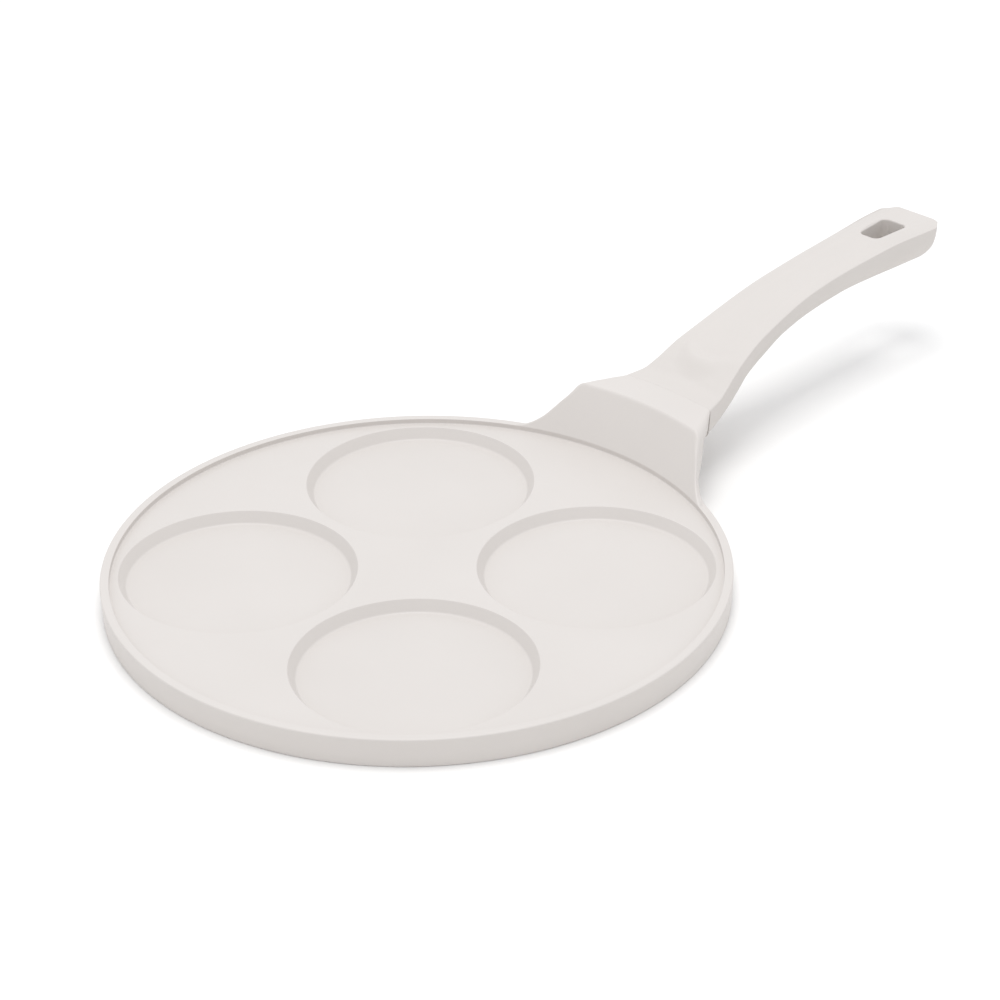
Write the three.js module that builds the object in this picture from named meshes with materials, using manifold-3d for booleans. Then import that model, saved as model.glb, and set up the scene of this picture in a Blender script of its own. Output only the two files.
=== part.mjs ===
// Four-cup pancake pan: cast pan with a raised bracket, moulded handle, and the screw that joins them.
// Millimetres, +Z up. The origin is the pan's centre on the resting plane, and +X runs along the handle.
import * as THREE from 'three';
import { mergeVertices, toCreasedNormals } from 'three/addons/utils/BufferGeometryUtils.js';
import Module from 'manifold-3d';

const wasm = await Module();
wasm.setup();

// Pan casting
const RIM_RADIUS = 130;
const RIM_HEIGHT = 12.6;
const RIM_WIDTH = 3.7;
const RIM_STEP = 2.4;
const RIM_EDGE_ROUND = 0.7;
const RIM_INNER_ROUND = 0.25;
const RIM_FILLET = 0.6;
const WALL_DRAFT = 0.5;
const BASE_ROUND = 0.6;
const CUP_COUNT = 4;
const CUP_CENTRE_RADIUS = 73.8;
const CUP_TOP_RADIUS = 49.4;
const CUP_DEPTH = 4.9;
const CUP_DRAFT = 3.2;
const CUP_EDGE_ROUND = 0.6;
const CUP_FLOOR_ROUND = 1.6;

// Perforated disc pressed into the base
const DISC_RADIUS = 95;
const DISC_THICKNESS = 0.8;
const DISC_CLEARANCE = 0.3;
const PERFORATION_RADIUS = 3;
const PERFORATION_RINGS = [
  { radius: 56, count: 16 },
  { radius: 80, count: 24 },
];

// Handle bracket, cast in one with the rim
const BRACKET_FACE_INSET = 3.65;
const BRACKET_FACE_RUN = 12.45;
const BRACKET_TOP = 33.7;
const BRACKET_RIDGE_ROUND = 0.6;
const BRACKET_REACH = 25.6;
const BRACKET_FACE_HALF_WIDTH = 50.4;
const BRACKET_RIDGE_HALF_WIDTH = 36.3;
const BRACKET_FOOT_BLEND = 7;
const BRACKET_FOOT_BOTTOM = 7.5;
const BRACKET_FOOT_RISE = 1;
const BRACKET_SIDE_LEAN = 3;
const BRACKET_EDGE_ROUND = 1.8;
const BRACKET_SHOULDER_ROUND = 4.6;
const BRACKET_END_ROUND = 2.6;
const BRACKET_SIDE_POWER = 6;

// Seam between bracket and handle
const SEAM_HALF_WIDTH = 25.2;
const SEAM_DEPTH = 16.4;
const SEAM_SIDE_LEAN = -2;
const SEAM_SHOULDER_ROUND = 1.2;
const SEAM_SIDE_POWER = 8;
const SEAM_GAP = 0.3;

// Handle
const HANDLE_LENGTH = 173;
const HANDLE_RISE = 29.9;
const GRIP_HALF_WIDTH = 14;
const GRIP_DEPTH = 15;
const GRIP_SHOULDER_ROUND = 1;
const GRIP_SIDE_POWER = 2.6;
const GRIP_BAND_WIDTH = 6.5;
const GRIP_BAND_DROP = 0.6;
const END_HALF_WIDTH = 16.4;
const END_DEPTH = 18.8;
const END_FLAT_HALF_WIDTH = 12.4;
const END_CORNER = 6.4;
const END_BELLY = 11;
const END_EDGE_ROUND = 0.5;
const END_BAND_DROP = 1.5;
const SCOOP_START = 19.2;
const SCOOP_LENGTH = 30;
const SCOOP_HALF_WIDTH = 13.2;
const SCOOP_DEPTH = 0.5;
const SCOOP_LIP = 2.2;
const SCOOP_LIP_RUN = 9;
const SCOOP_BOW = 5;
const SCOOP_EDGE_RUN = 6.5;
const SCOOP_FLOOR_RUN = 7;
const HANG_HOLE_FROM_END = 26.2;
const HANG_HOLE_LENGTH = 21;
const HANG_HOLE_NEAR_HALF_WIDTH = 5.2;
const HANG_HOLE_FAR_HALF_WIDTH = 6.8;
const HANG_HOLE_CORNER = 3;

// Tongue of the handle in the bracket's pocket
const TONGUE_HALF_WIDTH = 13.6;
const TONGUE_HEIGHT = 6.6;
const TONGUE_LENGTH = 13;
const TONGUE_ROOT = 10;
const TONGUE_CLEARANCE = 0.4;
const TONGUE_FLOOR = 9.4;
const TONGUE_CORNER = 2;

// Screw, washers and insert
const SCREW_FROM_SEAM = 7;
const SCREW_RADIUS = 2.4;
const SCREW_LENGTH = 10;
const SCREW_HEAD_RADIUS = 4.75;
const SCREW_HEAD_HEIGHT = 3.2;
const SCREW_CROWN_RADIUS = 3.3;
const SCREW_CROWN_HEIGHT = 1.6;
const SCREW_TIP_CHAMFER = 0.5;
const DRIVE_RADIUS = 1.9;
const DRIVE_DEPTH = 1.8;
const DRIVE_SIDES = 6;
const SCREW_CLEARANCE = 0.4;
const THREAD_CLEARANCE = 0.2;
const SEAT_RADIUS = 6.2;
const SEAT_WALL = 3;
const FLAT_WASHER_RADIUS = 5.5;
const FLAT_WASHER_THICKNESS = 0.8;
const SPRING_WASHER_RADIUS = 4.6;
const SPRING_WASHER_THICKNESS = 1.2;
const SPRING_WASHER_SPLIT = 1;
const SPLIT_CORNER = 0.1;
const INSERT_RADIUS = 4;
const INSERT_LENGTH = 5;
const INSERT_CLEARANCE = 0.3;

// Roundness of the meshes
const RIM_SEGMENTS = 96;
const CUP_SEGMENTS = 48;
const SMALL_SEGMENTS = 24;
const HOLE_SEGMENTS = 8;
const TOP_POINTS = 7;
const SHOULDER_POINTS = 3;
const WALL_POINTS = 5;
const BRACKET_STATIONS = 24;
const BRACKET_PACKING = 1.5;
const HANDLE_STATIONS = 64;
const END_PACKING = 0.7;
const CURVE_SEGMENTS = 6;
const ROUND_MIDDLE = 1 - Math.SQRT1_2;
const LEANING_SHARE = 0.3;
const LOW_SHARE = 0.25;
const CUT_OVERRUN = 1;

// Heights and radii that follow from the sizes above
const DECK_HEIGHT = RIM_HEIGHT - RIM_STEP;
const CUP_FLOOR = DECK_HEIGHT - CUP_DEPTH;
const RIM_INNER_RADIUS = RIM_RADIUS - RIM_WIDTH;
const FACE_RADIUS = RIM_RADIUS - BRACKET_FACE_INSET;
const RIDGE_RADIUS = FACE_RADIUS + BRACKET_FACE_RUN;
const SEAM_RADIUS = RIM_RADIUS + BRACKET_REACH;
const HANDLE_START = SEAM_RADIUS + SEAM_GAP;
const HANDLE_END = HANDLE_START + HANDLE_LENGTH;
const SEAM_BOTTOM = BRACKET_TOP - SEAM_DEPTH;
const POCKET_FLOOR = BRACKET_TOP - TONGUE_FLOOR;
const SCREW_X = SEAM_RADIUS - SCREW_FROM_SEAM;
const SEAT_HEIGHT = POCKET_FLOOR - SEAT_WALL;
const SPRING_WASHER_TOP = SEAT_HEIGHT - FLAT_WASHER_THICKNESS;
const HEAD_TOP = SPRING_WASHER_TOP - SPRING_WASHER_THICKNESS;
const HANG_HOLE_X = HANDLE_END - HANG_HOLE_FROM_END;

function mix(a, b, t) {
  return a + (b - a) * t;
}

function ease(t) {
  const c = Math.min(Math.max(t, 0), 1);
  return c * c * (3 - 2 * c);
}

// Value at x of a smooth curve through [x, value] keys, without overshoot between them.
function through(keys, x) {
  const last = keys.length - 1;
  if (x <= keys[0][0]) return keys[0][1];
  if (x >= keys[last][0]) return keys[last][1];
  const slopes = [];
  for (let i = 0; i < last; i += 1) {
    slopes.push((keys[i + 1][1] - keys[i][1]) / (keys[i + 1][0] - keys[i][0]));
  }
  const tangents = [slopes[0]];
  for (let i = 1; i < last; i += 1) {
    const product = slopes[i - 1] * slopes[i];
    tangents.push(product <= 0 ? 0 : (2 * product) / (slopes[i - 1] + slopes[i]));
  }
  tangents.push(slopes[last - 1]);
  let k = 0;
  while (x > keys[k + 1][0]) k += 1;
  const span = keys[k + 1][0] - keys[k][0];
  const t = (x - keys[k][0]) / span;
  const near = (1 + 2 * t) * (1 - t) * (1 - t) * keys[k][1] + t * t * (3 - 2 * t) * keys[k + 1][1];
  const bend = t * (1 - t) * (1 - t) * span * tangents[k] - t * t * (1 - t) * span * tangents[k + 1];
  return near + bend;
}

// Closed solid from a closed geometry: shared corners merged, empty triangles dropped, faces turned outwards.
function toSolid(geometry) {
  const bare = geometry.clone();
  bare.deleteAttribute('normal');
  bare.deleteAttribute('uv');
  const merged = mergeVertices(bare, 1e-4);
  const places = merged.attributes.position;
  const corner = (i) => new THREE.Vector3().fromBufferAttribute(places, i);
  const triangles = [];
  let volume = 0;
  for (let i = 0; i < merged.index.count; i += 3) {
    const [a, b, c] = [0, 1, 2].map((k) => merged.index.getX(i + k));
    if (a !== b && b !== c && c !== a) {
      triangles.push([a, b, c]);
      volume += corner(a).dot(corner(b).cross(corner(c)));
    }
  }
  const outward = volume < 0 ? triangles.map(([a, b, c]) => [a, c, b]) : triangles;
  const mesh = new wasm.Mesh({
    numProp: 3,
    vertProperties: new Float32Array(places.array),
    triVerts: new Uint32Array(outward.flat()),
  });
  return new wasm.Manifold(mesh);
}

function toGeometry(solid) {
  const mesh = solid.getMesh();
  const geometry = new THREE.BufferGeometry();
  geometry.setAttribute('position', new THREE.BufferAttribute(new Float32Array(mesh.vertProperties), 3));
  geometry.setIndex(new THREE.BufferAttribute(new Uint32Array(mesh.triVerts), 1));
  return toCreasedNormals(geometry, Math.PI / 6);
}

// Solid turned about the vertical through the origin from a list of [radius, height] that starts and ends on it.
function turned(profile, segments) {
  const points = profile.map(([radius, height]) => new THREE.Vector2(radius, height));
  const geometry = new THREE.LatheGeometry(points, segments);
  geometry.rotateX(Math.PI / 2);
  return toSolid(geometry);
}

function cylinder(radius, bottom, top, segments) {
  return turned([[0, bottom], [radius, bottom], [radius, top], [0, top]], segments);
}

// Half of a cross-section, as [across, height] points from the middle of its top to the middle of its underside:
// a flat top, a quarter-round shoulder, and a lower part that bends in by a power.
function halfSection(size) {
  const level = size.top - size.shoulder;
  const turnIn = 0.5 ** (1 / size.power);
  const bent = (share) => (1 - share ** size.power) ** (1 / size.power);
  const wall = (height) => {
    const down = (size.top - height) / (size.top - size.bottom);
    return mix(size.topHalfWidth, size.bottomHalfWidth, down) + size.flare(height);
  };
  const points = [];
  for (let j = 0; j <= TOP_POINTS; j += 1) {
    points.push([((wall(size.top) - size.shoulder) * j) / TOP_POINTS, size.top]);
  }
  for (let j = 1; j <= SHOULDER_POINTS; j += 1) {
    const turn = (Math.PI / 2) * (1 - j / SHOULDER_POINTS);
    const height = level + size.shoulder * Math.sin(turn);
    points.push([wall(height) - size.shoulder * (1 - Math.cos(turn)), height]);
  }
  for (let j = 1; j <= WALL_POINTS; j += 1) {
    const depth = (turnIn * j) / WALL_POINTS;
    const height = mix(level, size.bottom, depth);
    points.push([wall(height) * bent(depth), height]);
  }
  for (let j = 1; j <= TOP_POINTS; j += 1) {
    const share = turnIn * (1 - j / TOP_POINTS);
    const height = mix(level, size.bottom, bent(share));
    points.push([wall(height) * share, height]);
  }
  return points;
}

// Solid skinned over half sections placed by place(across, height, station), mirrored about the handle's plane.
// Upright strips close its two ends, so that an end on an arc stays on the arc.
function skinned(stations, halfAt, place) {
  const halves = stations.map(halfAt);
  const bottom = halves[0].length - 1;
  const count = 2 * bottom;
  const positions = [];
  halves.forEach((half, i) => {
    const mirrored = half.slice(1, bottom).reverse().map(([across, height]) => [-across, height]);
    for (const [across, height] of [...half, ...mirrored]) {
      positions.push(...place(across, height, stations[i]).toArray());
    }
  });
  const index = [];
  for (let i = 0; i + 1 < stations.length; i += 1) {
    for (let j = 0; j < count; j += 1) {
      const a = i * count + j;
      const b = i * count + ((j + 1) % count);
      index.push(a, b, b + count, a, b + count, a + count);
    }
  }
  const cap = [];
  for (let j = 0; j < TOP_POINTS; j += 1) {
    cap.push([j, j + 1, bottom - j - 1], [j, bottom - j - 1, bottom - j]);
  }
  for (let j = TOP_POINTS + 1; j < bottom - TOP_POINTS; j += 1) cap.push([TOP_POINTS, j, j + 1]);
  const last = (stations.length - 1) * count;
  for (const [a, b, c] of cap) {
    const [ma, mb, mc] = [a, b, c].map((k) => (count - k) % count);
    index.push(a, c, b, ma, mb, mc);
    index.push(a + last, b + last, c + last, ma + last, mc + last, mb + last);
  }
  const geometry = new THREE.BufferGeometry();
  geometry.setAttribute('position', new THREE.BufferAttribute(new Float32Array(positions), 3));
  geometry.setIndex(index);
  return toSolid(geometry);
}

function onArc(radius, across, height) {
  const turn = across / radius;
  return new THREE.Vector3(radius * Math.cos(turn), radius * Math.sin(turn), height);
}

// Bracket: sections on arcs about the pan's axis, from inside the rim out to the seam.
function bracketTop(radius) {
  const slope = (BRACKET_TOP - RIM_HEIGHT) / BRACKET_FACE_RUN;
  const face = RIM_HEIGHT + (radius - FACE_RADIUS) * slope;
  const blend = Math.min(Math.max(0.5 + (face - BRACKET_TOP) / (4 * BRACKET_RIDGE_ROUND), 0), 1);
  return mix(face, BRACKET_TOP, blend) - 2 * BRACKET_RIDGE_ROUND * blend * (1 - blend);
}

// Widening of the bracket's side by the round that blends it into the rim, by its distance from the rim.
function footFlare(radius, height) {
  const out = Math.max(radius - RIM_RADIUS + RIM_EDGE_ROUND, 0);
  const up = Math.max(height - RIM_HEIGHT + RIM_EDGE_ROUND, 0);
  const gap = Math.max(Math.hypot(out, up) - RIM_EDGE_ROUND, 0);
  const short = Math.max(BRACKET_FOOT_BLEND - gap, 0);
  return BRACKET_FOOT_BLEND - Math.sqrt(BRACKET_FOOT_BLEND ** 2 - short ** 2);
}

function bracketHalf(radius) {
  const shelf = mix(RIDGE_RADIUS, SEAM_RADIUS, 0.4);
  const topHalfWidth = through([
    [FACE_RADIUS, BRACKET_FACE_HALF_WIDTH],
    [RIDGE_RADIUS, BRACKET_RIDGE_HALF_WIDTH],
    [shelf, mix(BRACKET_RIDGE_HALF_WIDTH, SEAM_HALF_WIDTH, 0.25)],
    [SEAM_RADIUS, SEAM_HALF_WIDTH],
  ], radius);
  const out = (radius - RIM_RADIUS) / BRACKET_REACH;
  const leaning = through([[0, 1], [0.3, 1.1], [0.5, 0.36], [0.62, -0.36], [0.8, -0.5], [1, 0]], out);
  const bottom = through([
    [FACE_RADIUS, BRACKET_FOOT_BOTTOM],
    [RIM_RADIUS, BRACKET_FOOT_BOTTOM + BRACKET_FOOT_RISE],
    [mix(RIM_RADIUS, SEAM_RADIUS, 0.45), mix(BRACKET_FOOT_BOTTOM, SEAM_BOTTOM, 0.68)],
    [SEAM_RADIUS, SEAM_BOTTOM],
  ], radius);
  const shoulder = through([
    [mix(FACE_RADIUS, RIDGE_RADIUS, 0.6), BRACKET_EDGE_ROUND],
    [RIDGE_RADIUS, mix(BRACKET_EDGE_ROUND, BRACKET_SHOULDER_ROUND, 0.7)],
    [shelf, BRACKET_SHOULDER_ROUND],
    [mix(RIDGE_RADIUS, SEAM_RADIUS, 0.8), BRACKET_END_ROUND],
    [SEAM_RADIUS, SEAM_SHOULDER_ROUND],
  ], radius);
  return halfSection({
    top: bracketTop(radius),
    bottom,
    shoulder,
    topHalfWidth,
    bottomHalfWidth: topHalfWidth + mix(SEAM_SIDE_LEAN, BRACKET_SIDE_LEAN, leaning),
    power: mix(BRACKET_SIDE_POWER, SEAM_SIDE_POWER, ease(2 * out - 1)),
    flare: (height) => footFlare(radius, height),
  });
}

function bracketSolid() {
  const stations = [];
  for (let i = 0; i <= BRACKET_STATIONS; i += 1) {
    stations.push(mix(FACE_RADIUS, SEAM_RADIUS, (i / BRACKET_STATIONS) ** BRACKET_PACKING));
  }
  return skinned(stations, bracketHalf, (across, height, radius) => onArc(radius, across, height));
}

function handleHalfWidth(along) {
  return through([
    [0, SEAM_HALF_WIDTH],
    [0.12 * HANDLE_LENGTH, mix(GRIP_HALF_WIDTH, SEAM_HALF_WIDTH, 0.54)],
    [0.26 * HANDLE_LENGTH, mix(GRIP_HALF_WIDTH, SEAM_HALF_WIDTH, 0.2)],
    [0.54 * HANDLE_LENGTH, GRIP_HALF_WIDTH],
    [0.76 * HANDLE_LENGTH, mix(GRIP_HALF_WIDTH, END_HALF_WIDTH, 0.2)],
    [0.96 * HANDLE_LENGTH, END_HALF_WIDTH],
    [HANDLE_LENGTH, END_HALF_WIDTH],
  ], along);
}

// Handle: sections that start on the seam's arc and straighten into planes across the handle.
function handleSize(along) {
  const top = BRACKET_TOP + through([
    [0, 0],
    [0.05 * HANDLE_LENGTH, 0.033 * HANDLE_RISE],
    [0.08 * HANDLE_LENGTH, 0.113 * HANDLE_RISE],
    [0.115 * HANDLE_LENGTH, 0.231 * HANDLE_RISE],
    [0.15 * HANDLE_LENGTH, 0.345 * HANDLE_RISE],
    [0.28 * HANDLE_LENGTH, 0.612 * HANDLE_RISE],
    [0.46 * HANDLE_LENGTH, 0.842 * HANDLE_RISE],
    [0.66 * HANDLE_LENGTH, 0.948 * HANDLE_RISE],
    [0.86 * HANDLE_LENGTH, HANDLE_RISE],
    [HANDLE_LENGTH, 0.985 * HANDLE_RISE],
  ], along);
  const depth = through([
    [0, SEAM_DEPTH],
    [0.05 * HANDLE_LENGTH, 0.93 * SEAM_DEPTH],
    [0.08 * HANDLE_LENGTH, 0.99 * SEAM_DEPTH],
    [0.115 * HANDLE_LENGTH, 1.2 * GRIP_DEPTH],
    [0.17 * HANDLE_LENGTH, 1.34 * GRIP_DEPTH],
    [0.26 * HANDLE_LENGTH, 1.24 * GRIP_DEPTH],
    [0.36 * HANDLE_LENGTH, 1.06 * GRIP_DEPTH],
    [0.6 * HANDLE_LENGTH, 1.05 * GRIP_DEPTH],
    [0.86 * HANDLE_LENGTH, END_DEPTH],
    [HANDLE_LENGTH, END_DEPTH],
  ], along);
  const grip = ease(along / (0.2 * HANDLE_LENGTH));
  const corner = Math.max(along - (HANDLE_LENGTH - END_CORNER), 0) / END_CORNER;
  const belly = Math.max(along - (HANDLE_LENGTH - END_BELLY), 0) / (1.08 * END_BELLY);
  const past = Math.max(along - (HANDLE_LENGTH - END_EDGE_ROUND), 0);
  const inset = END_EDGE_ROUND - Math.sqrt(Math.max(END_EDGE_ROUND ** 2 - past ** 2, 0));
  const halfWidth = mix(handleHalfWidth(along), END_FLAT_HALF_WIDTH, corner ** 1.2) - inset;
  return {
    top: top - inset,
    bottom: top - depth * Math.sqrt(1 - belly * belly) + inset,
    shoulder: mix(SEAM_SHOULDER_ROUND, GRIP_SHOULDER_ROUND, grip),
    topHalfWidth: halfWidth,
    bottomHalfWidth: halfWidth + SEAM_SIDE_LEAN * (1 - grip),
    power: mix(SEAM_SIDE_POWER, GRIP_SIDE_POWER, grip),
    flare: () => 0,
  };
}

// Thumb rest: a shallow scoop behind a low lip whose edge is a crescent.
function scoopDrop(along, across) {
  const side = 1 - (across / SCOOP_HALF_WIDTH) ** 2;
  if (side <= 0) return 0;
  const start = SCOOP_START + SCOOP_BOW * (across / SCOOP_HALF_WIDTH) ** 2;
  const near = ease((along - start) / SCOOP_EDGE_RUN);
  const far = 1 - ease((along - start - SCOOP_FLOOR_RUN) / (SCOOP_LENGTH - SCOOP_FLOOR_RUN));
  const lip = ease((along - start + SCOOP_LIP_RUN) / SCOOP_LIP_RUN) * (1 - near);
  return SCOOP_DEPTH * near * far * side * side - SCOOP_LIP * lip * side;
}

// The top falls away a little in a band along its edges, most of all near the end.
function bandDrop(along, across) {
  const inside = handleHalfWidth(along) - GRIP_BAND_WIDTH;
  const share = Math.max(Math.abs(across) - inside, 0) / GRIP_BAND_WIDTH;
  const grip = ease(along / (0.3 * HANDLE_LENGTH));
  const end = ease((along - 0.6 * HANDLE_LENGTH) / (0.3 * HANDLE_LENGTH));
  return share * grip * mix(GRIP_BAND_DROP, END_BAND_DROP, end);
}

// Half section of the handle, with the thumb rest and the falling bands let into its top.
function handleHalf(along) {
  const size = handleSize(along);
  const level = size.top - size.shoulder;
  return halfSection(size).map(([across, height]) => {
    const upper = Math.max(height - level, 0) / size.shoulder;
    const drop = scoopDrop(along, across) + bandDrop(along, across);
    return [across, height - upper * drop];
  });
}

function onHandle(across, height, along) {
  const bow = 1 - ease(along / (0.2 * HANDLE_LENGTH));
  const arc = onArc(HANDLE_START, across, height);
  return new THREE.Vector3(mix(HANDLE_START, arc.x, bow) + along, mix(across, arc.y, bow), height);
}

function extrudedUp(shape, bottom, top) {
  const geometry = new THREE.ExtrudeGeometry(shape, {
    depth: top - bottom,
    bevelEnabled: false,
    curveSegments: CURVE_SEGMENTS,
  });
  geometry.translate(0, 0, bottom);
  return toSolid(geometry);
}

// Outline with rounded corners through a list of [x, y] corners.
function roundedShape(corners, round) {
  const shape = new THREE.Shape();
  corners.forEach((corner, i) => {
    const here = new THREE.Vector2(...corner);
    const before = new THREE.Vector2(...corners[(i + corners.length - 1) % corners.length]);
    const after = new THREE.Vector2(...corners[(i + 1) % corners.length]);
    const entry = here.clone().add(before.sub(here).setLength(round));
    const exit = here.clone().add(after.sub(here).setLength(round));
    if (i === 0) shape.moveTo(entry.x, entry.y);
    else shape.lineTo(entry.x, entry.y);
    shape.quadraticCurveTo(here.x, here.y, exit.x, exit.y);
  });
  shape.closePath();
  return shape;
}

function boxShape(fromX, toX, halfWidth, round) {
  const corners = [[fromX, -halfWidth], [toX, -halfWidth], [toX, halfWidth], [fromX, halfWidth]];
  return roundedShape(corners, round);
}

function perforations(radius, bottom, top) {
  const list = [];
  for (const ring of PERFORATION_RINGS) {
    for (let k = 0; k < ring.count; k += 1) {
      const turn = (2 * Math.PI * k) / ring.count;
      const peg = cylinder(radius, bottom, top, HOLE_SEGMENTS);
      list.push(peg.translate([ring.radius * Math.cos(turn), ring.radius * Math.sin(turn), 0]));
    }
  }
  return wasm.Manifold.union(list);
}

function panSolid() {
  const recess = DISC_RADIUS + DISC_CLEARANCE;
  const wallBottom = RIM_RADIUS - WALL_DRAFT;
  const edge = RIM_EDGE_ROUND;
  const inner = RIM_INNER_ROUND;
  const plate = turned([
    [0, DISC_THICKNESS],
    [recess, DISC_THICKNESS],
    [recess, 0],
    [wallBottom - BASE_ROUND, 0],
    [wallBottom - ROUND_MIDDLE * BASE_ROUND, ROUND_MIDDLE * BASE_ROUND],
    [wallBottom, BASE_ROUND],
    [RIM_RADIUS, RIM_HEIGHT - edge],
    [RIM_RADIUS - ROUND_MIDDLE * edge, RIM_HEIGHT - ROUND_MIDDLE * edge],
    [RIM_RADIUS - edge, RIM_HEIGHT],
    [RIM_INNER_RADIUS + inner, RIM_HEIGHT],
    [RIM_INNER_RADIUS, RIM_HEIGHT - inner],
    [RIM_INNER_RADIUS, DECK_HEIGHT + RIM_FILLET],
    [RIM_INNER_RADIUS - ROUND_MIDDLE * RIM_FILLET, DECK_HEIGHT + ROUND_MIDDLE * RIM_FILLET],
    [RIM_INNER_RADIUS - RIM_FILLET, DECK_HEIGHT],
    [0, DECK_HEIGHT],
  ], RIM_SEGMENTS);
  const floorRadius = CUP_TOP_RADIUS - CUP_DRAFT;
  const cut = turned([
    [0, CUP_FLOOR],
    [floorRadius - CUP_FLOOR_ROUND, CUP_FLOOR],
    [floorRadius - LEANING_SHARE * CUP_FLOOR_ROUND, CUP_FLOOR + LOW_SHARE * CUP_FLOOR_ROUND],
    [floorRadius + LEANING_SHARE * CUP_FLOOR_ROUND, CUP_FLOOR + CUP_FLOOR_ROUND],
    [CUP_TOP_RADIUS - LEANING_SHARE * CUP_EDGE_ROUND, DECK_HEIGHT - CUP_EDGE_ROUND],
    [CUP_TOP_RADIUS + LOW_SHARE * CUP_EDGE_ROUND, DECK_HEIGHT - LEANING_SHARE * CUP_EDGE_ROUND],
    [CUP_TOP_RADIUS + CUP_EDGE_ROUND, DECK_HEIGHT],
    [CUP_TOP_RADIUS + CUP_EDGE_ROUND, RIM_HEIGHT],
    [0, RIM_HEIGHT],
  ], CUP_SEGMENTS);
  const cuts = [];
  for (let k = 0; k < CUP_COUNT; k += 1) {
    const turn = (2 * Math.PI * (k + 0.5)) / CUP_COUNT;
    cuts.push(cut.translate([CUP_CENTRE_RADIUS * Math.cos(turn), CUP_CENTRE_RADIUS * Math.sin(turn), 0]));
  }
  const pocketStart = SEAM_RADIUS - TONGUE_LENGTH - TONGUE_CLEARANCE;
  const pocketHalfWidth = TONGUE_HALF_WIDTH + TONGUE_CLEARANCE;
  const pocketShape = boxShape(pocketStart, SEAM_RADIUS + TONGUE_ROOT, pocketHalfWidth, TONGUE_CORNER);
  const pocket = extrudedUp(pocketShape, POCKET_FLOOR, POCKET_FLOOR + TONGUE_HEIGHT + TONGUE_CLEARANCE);
  const screwHole = cylinder(SCREW_RADIUS + SCREW_CLEARANCE, 0, POCKET_FLOOR + CUT_OVERRUN, SMALL_SEGMENTS);
  const seat = cylinder(SEAT_RADIUS, 0, SEAT_HEIGHT, SMALL_SEGMENTS);
  const pegs = perforations(PERFORATION_RADIUS - DISC_CLEARANCE, 0, 2 * DISC_THICKNESS);
  return plate
    .add(bracketSolid())
    .subtract(wasm.Manifold.union(cuts))
    .subtract(pocket)
    .subtract(screwHole.add(seat).translate([SCREW_X, 0, 0]))
    .add(pegs);
}

function discSolid() {
  const blank = cylinder(DISC_RADIUS, 0, DISC_THICKNESS, RIM_SEGMENTS);
  return blank.subtract(perforations(PERFORATION_RADIUS, -CUT_OVERRUN, DISC_THICKNESS + CUT_OVERRUN));
}

function handleSolid() {
  const stations = [];
  for (let i = 0; i <= HANDLE_STATIONS; i += 1) {
    const share = i / HANDLE_STATIONS;
    const packed = share - (END_PACKING * Math.sin(2 * Math.PI * share)) / (2 * Math.PI);
    stations.push(HANDLE_LENGTH * packed);
  }
  const tongueStart = SEAM_RADIUS - TONGUE_LENGTH;
  const tongueShape = boxShape(tongueStart, HANDLE_START + TONGUE_ROOT, TONGUE_HALF_WIDTH, TONGUE_CORNER);
  const tongue = extrudedUp(tongueShape, POCKET_FLOOR, POCKET_FLOOR + TONGUE_HEIGHT);
  const near = HANG_HOLE_X - HANG_HOLE_LENGTH / 2;
  const far = HANG_HOLE_X + HANG_HOLE_LENGTH / 2;
  const hangHole = roundedShape([
    [near, -HANG_HOLE_NEAR_HALF_WIDTH],
    [far, -HANG_HOLE_FAR_HALF_WIDTH],
    [far, HANG_HOLE_FAR_HALF_WIDTH],
    [near, HANG_HOLE_NEAR_HALF_WIDTH],
  ], HANG_HOLE_CORNER);
  const holeTop = BRACKET_TOP + 2 * HANDLE_RISE;
  const insertTop = POCKET_FLOOR + INSERT_LENGTH;
  const insertHole = cylinder(INSERT_RADIUS + INSERT_CLEARANCE, 0, insertTop, SMALL_SEGMENTS);
  return skinned(stations, handleHalf, onHandle)
    .add(tongue)
    .subtract(extrudedUp(hangHole, BRACKET_TOP, holeTop))
    .subtract(insertHole.translate([SCREW_X, 0, 0]));
}

function ringSolid(inner, outer, bottom, top) {
  const profile = [[inner, bottom], [outer, bottom], [outer, top], [inner, top], [inner, bottom]];
  return turned(profile, SMALL_SEGMENTS).translate([SCREW_X, 0, 0]);
}

function insertSolid() {
  return ringSolid(SCREW_RADIUS + THREAD_CLEARANCE, INSERT_RADIUS, POCKET_FLOOR, POCKET_FLOOR + INSERT_LENGTH);
}

function screwSolid() {
  const bottom = HEAD_TOP - SCREW_HEAD_HEIGHT;
  const screw = turned([
    [0, bottom],
    [SCREW_CROWN_RADIUS, bottom],
    [SCREW_HEAD_RADIUS, bottom + SCREW_CROWN_HEIGHT],
    [SCREW_HEAD_RADIUS, HEAD_TOP],
    [SCREW_RADIUS, HEAD_TOP],
    [SCREW_RADIUS, HEAD_TOP + SCREW_LENGTH - SCREW_TIP_CHAMFER],
    [SCREW_RADIUS - SCREW_TIP_CHAMFER, HEAD_TOP + SCREW_LENGTH],
    [0, HEAD_TOP + SCREW_LENGTH],
  ], SMALL_SEGMENTS);
  const drive = cylinder(DRIVE_RADIUS, bottom - CUT_OVERRUN, bottom + DRIVE_DEPTH, DRIVE_SIDES);
  return screw.subtract(drive).translate([SCREW_X, 0, 0]);
}

function springWasherSolid() {
  const inner = SCREW_RADIUS + SCREW_CLEARANCE;
  const washer = ringSolid(inner, SPRING_WASHER_RADIUS, HEAD_TOP, SPRING_WASHER_TOP);
  const split = boxShape(SCREW_X, SCREW_X + 2 * SPRING_WASHER_RADIUS, SPRING_WASHER_SPLIT / 2, SPLIT_CORNER);
  return washer.subtract(extrudedUp(split, HEAD_TOP - CUT_OVERRUN, SPRING_WASHER_TOP + CUT_OVERRUN));
}

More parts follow.
